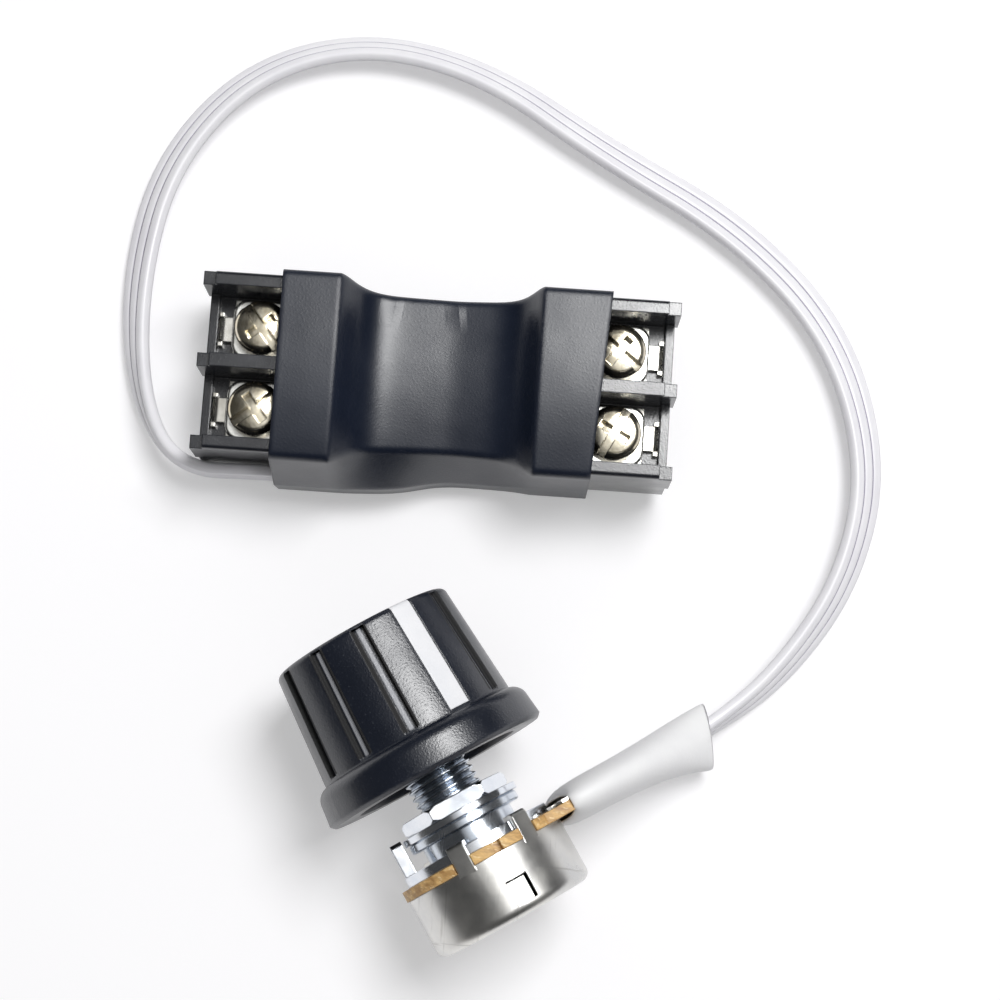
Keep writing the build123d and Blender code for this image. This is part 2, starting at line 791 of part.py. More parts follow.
def flat_cable():
    """Flat cable standing on its edge along the route."""
    radii = route_radii()
    print("cable radii", [round(r, 1) for r in radii])
    path = FilletPolyline(*cable_route, radius=radii)
    along = path % 0
    upright = along.cross(Vector(0, 0, 1)).cross(along)
    start = Plane(origin=path @ 0, x_dir=upright, z_dir=along)
    section = start * SlotOverall(cable_width, cable_thick)
    cable = sweep(section, path=path)
    straight = section.area * path.length
    print("cable length", round(path.length, 1), "volume share", round(cable.volume / straight, 4))
    return cable


def core_heights():
    """Each core's height over the cable's middle line."""
    middle = (core_count - 1) / 2
    return [(core - middle) * core_pitch for core in range(core_count)]


def board_lead(core):
    """One core from the cable's end to its pad on the board."""
    x, y, z = cable_route[0]
    start = (x + lead_d / 2 + seat_gap, y, z + core_heights()[core])
    pad = (x + first_pad + pad_pitch * core, -board_width / 2 + pad_inset, board_top + lead_d / 2 + seat_gap)
    return rod(start, pad, lead_d)


def control_lead(core):
    """One core from the cable's other end to its solder tag."""
    x, y, z = cable_route[-1]
    row = core - (core_count - 1) / 2
    height = plate_back + terminal_thick / 2
    goal = (body_place * Pos(-terminal_reach - 3 * seat_gap, row * terminal_pitch, height)).position
    start = Vector(x, y, z + core_heights()[core])
    start += (goal - start).normalized() * (lead_d / 2)
    return rod(tuple(start), tuple(goal), lead_d)


def tail_section(point, direction, upright, size, inset):
    """Rounded slot across the white sleeve, its first size upright."""
    long_side = upright - direction * upright.dot(direction)
    frame = Plane(origin=point, x_dir=long_side, z_dir=direction)
    return frame * SlotOverall(size[0] - 2 * inset, size[1] - 2 * inset)


def tail_loft(inset):
    """The white sleeve filled up, whole or moved in by its wall and run past both ends."""
    height = (wafer_back + plate_back + terminal_thick) / 2
    root = (body_place * Pos(-tail_start, 0, height)).position
    tags = (body_place * Pos(-terminal_reach - 3 * seat_gap, 0, height)).position
    row = ((body_place * Pos(0, 1, 0)).position - body_place.position).normalized()
    level = Vector(0, 0, 1)
    end = Vector(*tail_end_point)
    leave = (tags - root).normalized()
    arrive = (end - tags).normalized()
    turn = (leave + arrive).normalized()
    return loft([
        tail_section(root - leave * inset, leave, row, tail_root, inset),
        tail_section(tags, turn, row, tail_tags, inset),
        tail_section((tags + end) * 0.5, arrive, row + level, tail_waist, inset),
        tail_section(end + arrive * inset, arrive, level, tail_end, inset),
    ])


def white_sleeve():
    """Shrunk tube over the solder tags, tall at the tags and nearly round at the cable."""
    return tail_loft(0) - tail_loft(tail_wall)


def all_parts():
    """Every piece by its node's name."""
    parts = {"circuit_board": circuit_board()}
    body = terminal_body()
    parts["output_terminal_body"] = body
    parts["input_terminal_body"] = other_end(body)
    screw_turns = {"output": (-38, 62), "input": (38, -52)}
    for name, turn in (("output", lambda s: s), ("input", other_end)):
        for pole, y in enumerate(pole_centres()):
            label = f"{name}_{('positive', 'negative')[pole]}"
            parts[f"{label}_contact"] = turn(contact(y))
            parts[f"{label}_clamp_plate"] = turn(clamp_plate(y))
            parts[f"{label}_screw"] = turn(terminal_screw(y, screw_turns[name][pole]))
    parts["switching_transistor"] = switching_transistor()
    parts["timer_chip"] = timer_chip()
    parts["capacitor"] = capacitor()
    parts["flyback_diode"] = diode()
    parts["gate_resistor"] = resistor(gate_resistor_at)
    parts["timing_resistor"] = resistor(timing_resistor_at)
    parts["black_shrink_sleeve"] = black_sleeve()
    parts["flat_cable"] = flat_cable()
    for core in range(core_count):
        parts[f"board_lead_{core + 1}"] = board_lead(core)
        parts[f"control_lead_{core + 1}"] = control_lead(core)
        parts[f"control_terminal_{core + 1}"] = control_terminal(core - 1)
    parts["white_shrink_sleeve"] = white_sleeve()
    parts["rear_cup"] = rear_cup()
    parts["phenolic_wafer"] = wafer()
    parts["resistive_track"] = resistive_track()
    parts["collector_ring"] = collector_ring()
    parts["front_plate"] = front_plate()
    parts["threaded_bushing"] = threaded_bushing()
    parts["panel_washer"] = panel_washer()
    parts["panel_nut"] = panel_nut()
    parts["control_shaft"] = shaft()
    parts["shaft_clip"] = shaft_clip()
    parts["rotor"] = rotor()
    parts["wiper"] = wiper()
    parts["knob"] = knob()
    parts["knob_pointer"] = knob_pointer()
    return parts


os.makedirs("parts", exist_ok=True)
for node, shape in all_parts().items():
    export_step(shape, f"parts/{node}.step")
print("control axis", tuple(round(v, 6) for v in knob_axis), "seat", tuple(round(v, 4) for v in seat_point))
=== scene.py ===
import bpy
import bmesh
import json
from math import radians, pi, cos, sin
from mathutils import Vector, Matrix


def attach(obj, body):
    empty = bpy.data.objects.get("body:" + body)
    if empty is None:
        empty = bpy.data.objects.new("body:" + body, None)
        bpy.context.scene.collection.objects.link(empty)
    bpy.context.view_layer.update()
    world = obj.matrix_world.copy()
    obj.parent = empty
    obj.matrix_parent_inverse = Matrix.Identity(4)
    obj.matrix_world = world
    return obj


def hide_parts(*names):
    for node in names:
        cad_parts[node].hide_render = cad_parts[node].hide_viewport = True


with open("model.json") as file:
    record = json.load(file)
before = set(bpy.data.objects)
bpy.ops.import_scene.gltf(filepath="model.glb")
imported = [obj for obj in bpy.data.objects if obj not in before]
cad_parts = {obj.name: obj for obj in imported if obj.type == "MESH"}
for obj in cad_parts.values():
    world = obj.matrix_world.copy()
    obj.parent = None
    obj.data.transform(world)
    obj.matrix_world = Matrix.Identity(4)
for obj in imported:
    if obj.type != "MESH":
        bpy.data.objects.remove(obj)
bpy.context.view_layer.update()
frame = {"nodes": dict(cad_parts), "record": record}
scene = bpy.context.scene
nodes = frame["nodes"]
millimetre = 0.001
scene.view_settings.view_transform = "Standard"
print("frame loaded:", len(nodes), "nodes")


# camera: nearly straight down on the module
viewPoint = {
    "at": (0.0091425, -0.0490149, 0.2673745),
    "right": (0.99768, 0.06807, 0.00252),
    "up": (-0.06774, 0.98743, 0.14280),
    "lens": 91.742,
    "sensor": 36,
    "clip": (0.01, 20),
}


def makeCamera(values):
    data = bpy.data.cameras.new("viewCamera")
    data.lens = values["lens"]
    data.sensor_width = values["sensor"]
    data.clip_start, data.clip_end = values["clip"]
    right = Vector(values["right"]).normalized()
    up = Vector(values["up"])
    back = right.cross(up).normalized()
    up = back.cross(right)
    turn = Matrix((right, up, back)).transposed().to_4x4()
    camera = bpy.data.objects.new("viewCamera", data)
    scene.collection.objects.link(camera)
    camera.matrix_world = Matrix.Translation(values["at"]) @ turn
    scene.camera = camera


makeCamera(viewPoint)
print("camera set")


# the control's own space: millimetres, Z along the shaft, zero at the panel seat
panelMount = next(mount for mount in frame["record"]["mounts"] if mount["name"] == "panel_bushing")
controlAxis = Vector(panelMount["axis"]).normalized()
controlSeat = Vector(panelMount["pos_m"]) / millimetre
sideways = Vector((0, 0, 1)).cross(controlAxis).normalized()
controlTurn = Matrix((sideways, controlAxis.cross(sideways), controlAxis)).transposed()
controlSpace = Matrix.Scale(millimetre, 4) @ Matrix.Translation(controlSeat) @ controlTurn.to_4x4()


# helpers for shader trees
def newGroup(name, inputs, outputs):
    group = bpy.data.node_groups.new(name, "ShaderNodeTree")
    for label, kind, value in inputs:
        socket = group.interface.new_socket(name=label, in_out="INPUT", socket_type=kind)
        if value is not None:
            socket.default_value = value
    for label, kind in outputs:
        group.interface.new_socket(name=label, in_out="OUTPUT", socket_type=kind)
    entry = group.nodes.new("NodeGroupInput")
    leave = group.nodes.new("NodeGroupOutput")
    return group, entry, leave


def addNode(tree, kind, **settings):
    node = tree.nodes.new(kind)
    for key, value in settings.items():
        setattr(node, key, value)
    return node


def addMath(tree, operation, a, b=None, clamp=False):
    node = addNode(tree, "ShaderNodeMath", operation=operation, use_clamp=clamp)
    for index, value in enumerate((a, b)):
        if value is None:
            continue
        if isinstance(value, (int, float)):
            node.inputs[index].default_value = value
        else:
            tree.links.new(value, node.inputs[index])
    return node.outputs[0]


def addRange(tree, value, low, high, outLow=0.0, outHigh=1.0):
    node = addNode(tree, "ShaderNodeMapRange")
    tree.links.new(value, node.inputs["Value"])
    limits = {"From Min": low, "From Max": high, "To Min": outLow, "To Max": outHigh}
    for label, number in limits.items():
        if isinstance(number, (int, float)):
            node.inputs[label].default_value = number
        else:
            tree.links.new(number, node.inputs[label])
    return node.outputs["Result"]


def addNoise(tree, vector, scale, detail, rough):
    node = addNode(tree, "ShaderNodeTexNoise")
    tree.links.new(vector, node.inputs["Vector"])
    if isinstance(scale, (int, float)):
        node.inputs["Scale"].default_value = scale
    else:
        tree.links.new(scale, node.inputs["Scale"])
    node.inputs["Detail"].default_value = detail
    node.inputs["Roughness"].default_value = rough
    return node.outputs["Fac"]


def addMix(tree, fac, a, b):
    node = addNode(tree, "ShaderNodeMix", data_type="RGBA")
    # a colour mix has its factor first, its two colours at 6 and 7 and its result at 2
    for index, value in ((0, fac), (6, a), (7, b)):
        socket = node.inputs[index]
        if isinstance(value, (int, float)):
            socket.default_value = value
        elif isinstance(value, tuple):
            socket.default_value = (*value, 1.0)
        else:
            tree.links.new(value, socket)
    return node.outputs[2]


def splitPlace(tree, place):
    part = addNode(tree, "ShaderNodeSeparateXYZ")
    tree.links.new(place, part.inputs[0])
    return part.outputs


vectorKind, floatKind = "NodeSocketVector", "NodeSocketFloat"


# fine spark-eroded skin: small bumps and a few bright specks
grainLook = {"noiseRough": 0.6, "cellScale": 0.8, "cellEdge": (0.1, 0.5), "noiseShare": 0.7, "cellShare": 0.3,
             "speckFrom": (0.62, 0.74)}


def makeMouldGrain(values):
    group, entry, leave = newGroup("mouldGrain",
                                   [("Vector", vectorKind, None), ("Scale", floatKind, 4000.0)],
                                   [("Height", floatKind), ("Speck", floatKind)])
    noise = addNoise(group, entry.outputs["Vector"], entry.outputs["Scale"], 3.0, values["noiseRough"])
    cells = addNode(group, "ShaderNodeTexVoronoi", feature="F1")
    group.links.new(entry.outputs["Vector"], cells.inputs["Vector"])
    cellScale = addMath(group, "MULTIPLY", entry.outputs["Scale"], values["cellScale"])
    group.links.new(cellScale, cells.inputs["Scale"])
    cellMask = addRange(group, cells.outputs["Distance"], *values["cellEdge"], 1.0, 0.0)
    height = addMath(group, "ADD", addMath(group, "MULTIPLY", noise, values["noiseShare"]),
                     addMath(group, "MULTIPLY", cellMask, values["cellShare"]))
    group.links.new(height, leave.inputs["Height"])
    group.links.new(addRange(group, noise, *values["speckFrom"]), leave.inputs["Speck"])
    return group


def makeUnevenTone():
    # broad handling marks and uneven tone
    group, entry, leave = newGroup("unevenTone",
                                   [("Vector", vectorKind, None), ("Scale", floatKind, 200.0),
                                    ("Low", floatKind, 0.4), ("High", floatKind, 0.65)],
                                   [("Mask", floatKind)])
    noise = addNoise(group, entry.outputs["Vector"], entry.outputs["Scale"], 6.0, 0.6)
    mask = addRange(group, noise, entry.outputs["Low"], entry.outputs["High"])
    group.links.new(mask, leave.inputs["Mask"])
    return group


# thin handling lines: turn, stretch and cut-off of each direction
scratchWays = [
    ((0.4, 0.2, 0.9), (1.0, 0.03, 0.06), (0.60, 0.72)),
    ((0.1, 0.7, -0.6), (0.04, 1.0, 0.05), (0.62, 0.74)),
]


def makeFineScratches(ways):
    group, entry, leave = newGroup("fineScratches",
                                   [("Vector", vectorKind, None), ("Scale", floatKind, 900.0)],
                                   [("Mask", floatKind), ("Height", floatKind)])
    lines = []
    masks = []
    for turn, stretch, cutOff in ways:
        place = addNode(group, "ShaderNodeMapping")
        place.inputs["Rotation"].default_value = turn
        place.inputs["Scale"].default_value = stretch
        group.links.new(entry.outputs["Vector"], place.inputs["Vector"])
        line = addNoise(group, place.outputs["Vector"], entry.outputs["Scale"], 4.0, 0.7)
        lines.append(line)
        masks.append(addRange(group, line, *cutOff))
    group.links.new(addMath(group, "MAXIMUM", *masks), leave.inputs["Mask"])
    height = addMath(group, "MULTIPLY", addMath(group, "ADD", *lines), 0.5)
    group.links.new(height, leave.inputs["Height"])
    return group


# rounded edges that catch light, with a mask where they are rubbed
rubLook = {"samples": 6, "bend": (0.02, 0.22), "broken": (0.42, 0.62)}


def makeEdgeRub(values):
    group, entry, leave = newGroup("edgeRub",
                                   [("Vector", vectorKind, None), ("Scale", floatKind, 900.0),
                                    ("Radius", floatKind, 0.00018)],
                                   [("Mask", floatKind), ("Normal", vectorKind)])
    bevel = addNode(group, "ShaderNodeBevel", samples=values["samples"])
    group.links.new(entry.outputs["Radius"], bevel.inputs["Radius"])
    plain = addNode(group, "ShaderNodeNewGeometry")
    dot = addNode(group, "ShaderNodeVectorMath", operation="DOT_PRODUCT")
    group.links.new(bevel.outputs["Normal"], dot.inputs[0])
    group.links.new(plain.outputs["Normal"], dot.inputs[1])
    bend = addMath(group, "SUBTRACT", 1.0, dot.outputs["Value"], True)
    noise = addNoise(group, entry.outputs["Vector"], entry.outputs["Scale"], 5.0, 0.65)
    mask = addMath(group, "MULTIPLY", addRange(group, bend, *values["bend"]),
                   addRange(group, noise, *values["broken"]))
    group.links.new(mask, leave.inputs["Mask"])
    group.links.new(bevel.outputs["Normal"], leave.inputs["Normal"])
    return group


# one pointed crease along +Y of its own space: steep on its left, fading out along its length
pleatLook = {"left": -0.5, "start": (-0.5, 0.15)}


def makePleat(values):
    group, entry, leave = newGroup("pleat",
                                   [("Vector", vectorKind, None), ("Width", floatKind, 0.001),
                                    ("Length", floatKind, 0.003)],
                                   [("Height", floatKind)])
    axes = splitPlace(group, entry.outputs["Vector"])
    across = addMath(group, "DIVIDE", axes["X"], entry.outputs["Width"])
    right = addRange(group, across, 0.0, 1.0, 1.0, 0.0)
    left = addRange(group, across, values["left"], 0.0)
    along = addMath(group, "DIVIDE", axes["Y"], entry.outputs["Length"])
    fade = addMath(group, "MULTIPLY", addRange(group, along, 0.0, 1.0, 1.0, 0.0),
                   addRange(group, along, *values["start"]))
    ridge = addMath(group, "MULTIPLY", addMath(group, "MINIMUM", left, right), fade)
    group.links.new(ridge, leave.inputs["Height"])
    return group


mouldGrain = makeMouldGrain(grainLook)
unevenTone = makeUnevenTone()
fineScratches = makeFineScratches(scratchWays)
edgeRub = makeEdgeRub(rubLook)
pleat = makePleat(pleatLook)


def useGroup(tree, group, vector, **values):
    node = addNode(tree, "ShaderNodeGroup", node_tree=group)
    tree.links.new(vector, node.inputs["Vector"])
    for key, value in values.items():
        node.inputs[key].default_value = value
    return node


def startFinish(name):
    finish = bpy.data.materials.new(name)
    finish.use_nodes = True
    tree = finish.node_tree
    shader = tree.nodes["Principled BSDF"]
    place = addNode(tree, "ShaderNodeTexCoord").outputs["Object"]
    return finish, tree, shader, place


def addBump(tree, height, normal, strength, distance):
    bump = addNode(tree, "ShaderNodeBump")
    bump.inputs["Strength"].default_value = strength
    bump.inputs["Distance"].default_value = distance
    tree.links.new(height, bump.inputs["Height"])
    if normal is not None:
        tree.links.new(normal, bump.inputs["Normal"])
    return bump.outputs["Normal"]


def ownSpace(tree, place, location, turn):
    spot = addNode(tree, "ShaderNodeMapping", vector_type="TEXTURE")
    spot.inputs["Location"].default_value = location
    spot.inputs["Rotation"].default_value = turn
    tree.links.new(place, spot.inputs["Vector"])
    return spot.outputs["Vector"]


def grooveMasks(tree, place, values):
    # painted reflection on the floors and painted shade along the side lines of the grip's grooves, by angle
    # about the shaft
    axes = splitPlace(tree, ownSpace(tree, place, controlSeat * millimetre, controlTurn.to_euler()))
    roll = addMath(tree, "ARCTAN2", addMath(tree, "MULTIPLY", axes["X"], -1.0), axes["Y"])
    step = 2 * pi / values["count"]
    turns = addMath(tree, "DIVIDE", addMath(tree, "SUBTRACT", roll, radians(values["first"])), step)
    away = addMath(tree, "ABSOLUTE", addMath(tree, "SUBTRACT", turns, addMath(tree, "ROUND", turns)))
    away = addMath(tree, "MULTIPLY", away, step * values["radius"])
    foot, crown, blend = values["foot"], values["crown"], values["blend"]
    inGrip = addMath(tree, "MULTIPLY", addRange(tree, axes["Z"], foot, foot + blend),
                     addRange(tree, axes["Z"], crown, crown + blend, 1.0, 0.0))
    floorHalf, line = values["floorHalf"], values["line"]
    floor = addRange(tree, away, floorHalf * values["floorFade"], floorHalf, 1.0, 0.0)
    near = addMath(tree, "ABSOLUTE", addMath(tree, "SUBTRACT", away, values["half"]))
    side = addRange(tree, near, line * values["lineFade"], line, 1.0, 0.0)
    return addMath(tree, "MULTIPLY", floor, inGrip), addMath(tree, "MULTIPLY", side, inGrip)


def sagHeight(tree, place, values):
    # the film falls away towards the front, faster with the distance
    ahead = addMath(tree, "SUBTRACT", values["from"], splitPlace(tree, place)["Y"])
    ahead = addMath(tree, "MAXIMUM", ahead, 0.0)
    return addMath(tree, "MULTIPLY", addMath(tree, "POWER", ahead, 2.0), -values["curve"])


# what all plastics have in common
plasticRules = {"toneLow": 0.35, "toneHigh": 0.68, "rubScale": 6, "edge": 0.00018, "specular": 0.5}


def plasticFinish(name, values):
    finish, tree, shader, place = startFinish(name)
    tone = useGroup(tree, unevenTone, place, Scale=values["toneScale"],
                    Low=plasticRules["toneLow"], High=plasticRules["toneHigh"])
    colour = addMix(tree, tone.outputs["Mask"], values["dark"], values["light"])
    grain = useGroup(tree, mouldGrain, place, Scale=values["grainScale"])
    speck = addMath(tree, "MULTIPLY", grain.outputs["Speck"], values["speck"])
    colour = addMix(tree, speck, colour, values["rubbed"])
    rub = useGroup(tree, edgeRub, place, Scale=values["toneScale"] * plasticRules["rubScale"],
                   Radius=values.get("edge", plasticRules["edge"]))
    worn = addMath(tree, "MULTIPLY", rub.outputs["Mask"], values["rub"])
    colour = addMix(tree, worn, colour, values["rubbed"])
    rough = addRange(tree, tone.outputs["Mask"], 0.0, 1.0, *values["rough"])
    if "grooves" in values:
        grooves = values["grooves"]
        floor, side = grooveMasks(tree, place, grooves)
        # the groove floors get a painted reflection
        colour = addMix(tree, floor, colour, grooves["floorColour"])
        # the groove sides get painted shade
        colour = addMix(tree, side, colour, grooves["sideShadeColour"])
        rough = addMath(tree, "MAXIMUM", rough, addMath(tree, "MULTIPLY", side, grooves["sideRough"]))
    tree.links.new(colour, shader.inputs["Base Color"])
    tree.links.new(rough, shader.inputs["Roughness"])
    normal = rub.outputs["Normal"]
    for at, turn, width, length, depth in values.get("pleats", []):
        spot = ownSpace(tree, place, Vector(at) * millimetre, (0.0, 0.0, radians(turn)))
        fold = useGroup(tree, pleat, spot, Width=width * millimetre, Length=length * millimetre)
        normal = addBump(tree, fold.outputs["Height"], normal, 1.0, depth * millimetre)
    if "wave" in values:
        wave = addNoise(tree, place, values["wave"]["scale"], 2.0, 0.5)
        normal = addBump(tree, wave, normal, 1.0, values["wave"]["depth"])
    if "sag" in values:
        normal = addBump(tree, sagHeight(tree, place, values["sag"]), normal, 1.0, 1.0)
    normal = addBump(tree, grain.outputs["Height"], normal, values["bump"], values["bumpDepth"])
    tree.links.new(normal, shader.inputs["Normal"])
    shader.inputs["Specular IOR Level"].default_value = values.get("specular", plasticRules["specular"])
    return finish


def domeHeight(tree, place, values):
    # the same slight dome about each of the four screws
    axes = splitPlace(tree, place)
    squares = []
    for label, middle in (("X", values["x"]), ("Y", values["y"])):
        off = addMath(tree, "SUBTRACT", addMath(tree, "ABSOLUTE", axes[label]), middle)
        squares.append(addMath(tree, "MULTIPLY", off, off))
    return addMath(tree, "MULTIPLY", addMath(tree, "ADD", *squares), -values["curve"])


# what all metals have in common
metalRules = {"toneLow": 0.35, "toneHigh": 0.7, "rubScale": 4, "scratchRough": 0.12, "scratchHeight": 0.12}


def metalFinish(name, values):
    finish, tree, shader, place = startFinish(name)
    tone = useGroup(tree, unevenTone, place, Scale=values["toneScale"],
                    Low=metalRules["toneLow"], High=metalRules["toneHigh"])
    colour = addMix(tree, tone.outputs["Mask"], values["dark"], values["light"])
    scratch = useGroup(tree, fineScratches, place, Scale=values["scratchScale"])
    worn = addMath(tree, "MULTIPLY", scratch.outputs["Mask"], values["scratch"])
    colour = addMix(tree, worn, colour, values["scratchColour"])
    tree.links.new(colour, shader.inputs["Base Color"])
    shader.inputs["Metallic"].default_value = 1.0
    rough = addRange(tree, tone.outputs["Mask"], 0.0, 1.0, *values["rough"])
    dull = addMath(tree, "MULTIPLY", scratch.outputs["Mask"], metalRules["scratchRough"])
    tree.links.new(addMath(tree, "ADD", rough, dull), shader.inputs["Roughness"])
    rub = useGroup(tree, edgeRub, place, Scale=values["toneScale"] * metalRules["rubScale"])
    normal = rub.outputs["Normal"]
    if "dome" in values:
        normal = addBump(tree, domeHeight(tree, place, values["dome"]), normal, 1.0, 1.0)
    wave = addNoise(tree, place, values["waveScale"], 2.0, 0.5)
    lines = addMath(tree, "MULTIPLY", scratch.outputs["Height"], metalRules["scratchHeight"])
    height = addMath(tree, "ADD", wave, lines)
    normal = addBump(tree, height, normal, values["bump"], values["bumpDepth"])
    tree.links.new(normal, shader.inputs["Normal"])
    return finish


plastics = {
    "terminalBlack": {"dark": (0.004, 0.005, 0.009), "light": (0.010, 0.012, 0.018),
                      "rubbed": (0.20, 0.21, 0.22),
                      "toneScale": 160.0, "grainScale": 5200.0, "speck": 0.22, "rub": 0.5,
                      "rough": (0.16, 0.28),
                      "bump": 0.25, "bumpDepth": 0.00004, "specular": 0.95},
    "sleeveBlack": {"dark": (0.004, 0.008, 0.020), "light": (0.008, 0.013, 0.028),
                    "rubbed": (0.16, 0.16, 0.17),
                    "toneScale": 90.0, "grainScale": 4200.0, "speck": 0.08, "rub": 0.2, "rough": (0.30, 0.40),
                    "bump": 0.22, "bumpDepth": 0.00004, "edge": 0.0007, "specular": 0.7,
                    "wave": {"scale": 80.0, "depth": 0.00016},
                    # sag towards the front, from this Y
                    "sag": {"from": 0.003, "curve": 8.0},
                    # creases: start in millimetres, heading, width, length and depth
                    "pleats": [((-4.8, 8.0, 9.0), 172, 1.6, 2.8, 0.10),
                               ((1.7, 7.5, 9.0), 188, 1.5, 2.4, 0.08)]},
    "sleeveWhite": {"dark": (0.88, 0.88, 0.89), "light": (0.94, 0.94, 0.94), "rubbed": (0.95, 0.95, 0.95),
                    "toneScale": 150.0, "grainScale": 2600.0, "speck": 0.1, "rub": 0.1, "rough": (0.4, 0.55),
                    "bump": 0.25, "bumpDepth": 0.00005},
    "coreWhite": {"dark": (0.78, 0.77, 0.80), "light": (0.86, 0.85, 0.88), "rubbed": (0.9, 0.9, 0.92),
                  "toneScale": 200.0, "grainScale": 2600.0, "speck": 0.0, "rub": 0.0, "rough": (0.35, 0.5),
                  "bump": 0.1, "bumpDepth": 0.00003},
    "boardGreen": {"dark": (0.012, 0.075, 0.035), "light": (0.02, 0.11, 0.05), "rubbed": (0.25, 0.3, 0.2),
                   "toneScale": 220.0, "grainScale": 3000.0, "speck": 0.1, "rub": 0.4, "rough": (0.3, 0.45),
                   "bump": 0.15, "bumpDepth": 0.00003},
    "packageBlack": {"dark": (0.012, 0.012, 0.013), "light": (0.025, 0.025, 0.027), "rubbed": (0.2, 0.2, 0.2),
                     "toneScale": 300.0, "grainScale": 5200.0, "speck": 0.1, "rub": 0.3, "rough": (0.5, 0.65),
                     "bump": 0.3, "bumpDepth": 0.00003},
    "carbonTrack": {"dark": (0.008, 0.008, 0.008), "light": (0.02, 0.02, 0.02), "rubbed": (0.1, 0.1, 0.1),
                    "toneScale": 300.0, "grainScale": 5200.0, "speck": 0.1, "rub": 0.1, "rough": (0.6, 0.75),
                    "bump": 0.2, "bumpDepth": 0.00002},
    "rotorBlack": {"dark": (0.02, 0.02, 0.02), "light": (0.04, 0.04, 0.04), "rubbed": (0.2, 0.2, 0.2),
                   "toneScale": 200.0, "grainScale": 4200.0, "speck": 0.1, "rub": 0.2, "rough": (0.45, 0.6),
                   "bump": 0.2, "bumpDepth": 0.00003},
    "knobBlack": {"dark": (0.004, 0.007, 0.016), "light": (0.007, 0.011, 0.023), "rubbed": (0.22, 0.24, 0.27),
                  "toneScale": 120.0, "grainScale": 4600.0, "speck": 0.2, "rub": 0.3, "rough": (0.28, 0.38),
                  "bump": 0.42, "bumpDepth": 0.00006, "edge": 0.0004, "specular": 1.0,
                  # grooves: roll of the first, distances in metres; the floor colour is a painted reflection
                  # and the side colour painted shade
                  "grooves": {"first": 29.5, "count": 12, "radius": 0.01, "half": 0.00065,
                              "line": 0.0003, "lineFade": 0.6, "floorHalf": 0.0003, "floorFade": 0.5,
                              "foot": 0.00935, "crown": 0.0206, "blend": 0.0002,
                              "floorColour": (0.42, 0.43, 0.46),
                              "sideShadeColour": (0.001, 0.001, 0.002), "sideRough": 0.8}},
    "pointerWhite": {"dark": (0.84, 0.85, 0.88), "light": (0.9, 0.9, 0.92), "rubbed": (0.75, 0.75, 0.78),
                     "toneScale": 250.0, "grainScale": 4200.0, "speck": 0.15, "rub": 0.2,
                     "rough": (0.35, 0.5),
                     "bump": 0.25, "bumpDepth": 0.00004},
}
metals = {
    "screwNickel": {"dark": (0.72, 0.64, 0.47), "light": (0.88, 0.83, 0.70),
                    "scratchColour": (0.45, 0.40, 0.30),
                    "toneScale": 420.0, "scratchScale": 1500.0, "scratch": 0.35, "rough": (0.14, 0.26),
                    "waveScale": 700.0, "bump": 0.35, "bumpDepth": 0.00012,
                    "dome": {"x": 0.01845, "y": 0.00425, "curve": 48.0}},
    "clampSteel": {"dark": (0.74, 0.73, 0.68), "light": (0.88, 0.88, 0.85), "scratchColour": (0.5, 0.5, 0.48),
                   "toneScale": 300.0, "scratchScale": 1500.0, "scratch": 0.3, "rough": (0.16, 0.3),
                   "waveScale": 500.0, "bump": 0.2, "bumpDepth": 0.0001},
    "contactTin": {"dark": (0.62, 0.60, 0.54), "light": (0.82, 0.81, 0.77),
                   "scratchColour": (0.4, 0.38, 0.34),
                   "toneScale": 300.0, "scratchScale": 1500.0, "scratch": 0.3, "rough": (0.18, 0.34),
                   "waveScale": 500.0, "bump": 0.2, "bumpDepth": 0.0001},
    "canMetal": {"dark": (0.62, 0.63, 0.65), "light": (0.8, 0.8, 0.82), "scratchColour": (0.5, 0.5, 0.5),
                 "toneScale": 200.0, "scratchScale": 1200.0, "scratch": 0.2, "rough": (0.25, 0.35),
                 "waveScale": 300.0, "bump": 0.1, "bumpDepth": 0.0001},
    "cupTin": {"dark": (0.58, 0.58, 0.575), "light": (0.84, 0.825, 0.78), "scratchColour": (0.32, 0.31, 0.29),
               "toneScale": 130.0, "scratchScale": 1100.0, "scratch": 0.7, "rough": (0.26, 0.42),
               "waveScale": 160.0, "bump": 0.4, "bumpDepth": 0.0003},
    "zincPlate": {"dark": (0.70, 0.74, 0.80), "light": (0.88, 0.90, 0.93), "scratchColour": (0.5, 0.53, 0.58),
                  "toneScale": 260.0, "scratchScale": 1300.0, "scratch": 0.3, "rough": (0.12, 0.24),
                  "waveScale": 420.0, "bump": 0.3, "bumpDepth": 0.00012},
    "bushingMetal": {"dark": (0.56, 0.61, 0.68), "light": (0.80, 0.84, 0.89),
                     "scratchColour": (0.4, 0.43, 0.48),
                     "toneScale": 260.0, "scratchScale": 1300.0, "scratch": 0.35, "rough": (0.16, 0.28),
                     "waveScale": 420.0, "bump": 0.25, "bumpDepth": 0.00012},
    "wiperBronze": {"dark": (0.5, 0.33, 0.15), "light": (0.7, 0.5, 0.25), "scratchColour": (0.35, 0.25, 0.12),
                    "toneScale": 260.0, "scratchScale": 1300.0, "scratch": 0.3, "rough": (0.2, 0.35),
                    "waveScale": 420.0, "bump": 0.2, "bumpDepth": 0.0001},
}
finishes = {}
for label, values in plastics.items():
    finishes[label] = plasticFinish(label, values)
for label, values in metals.items():
    finishes[label] = metalFinish(label, values)


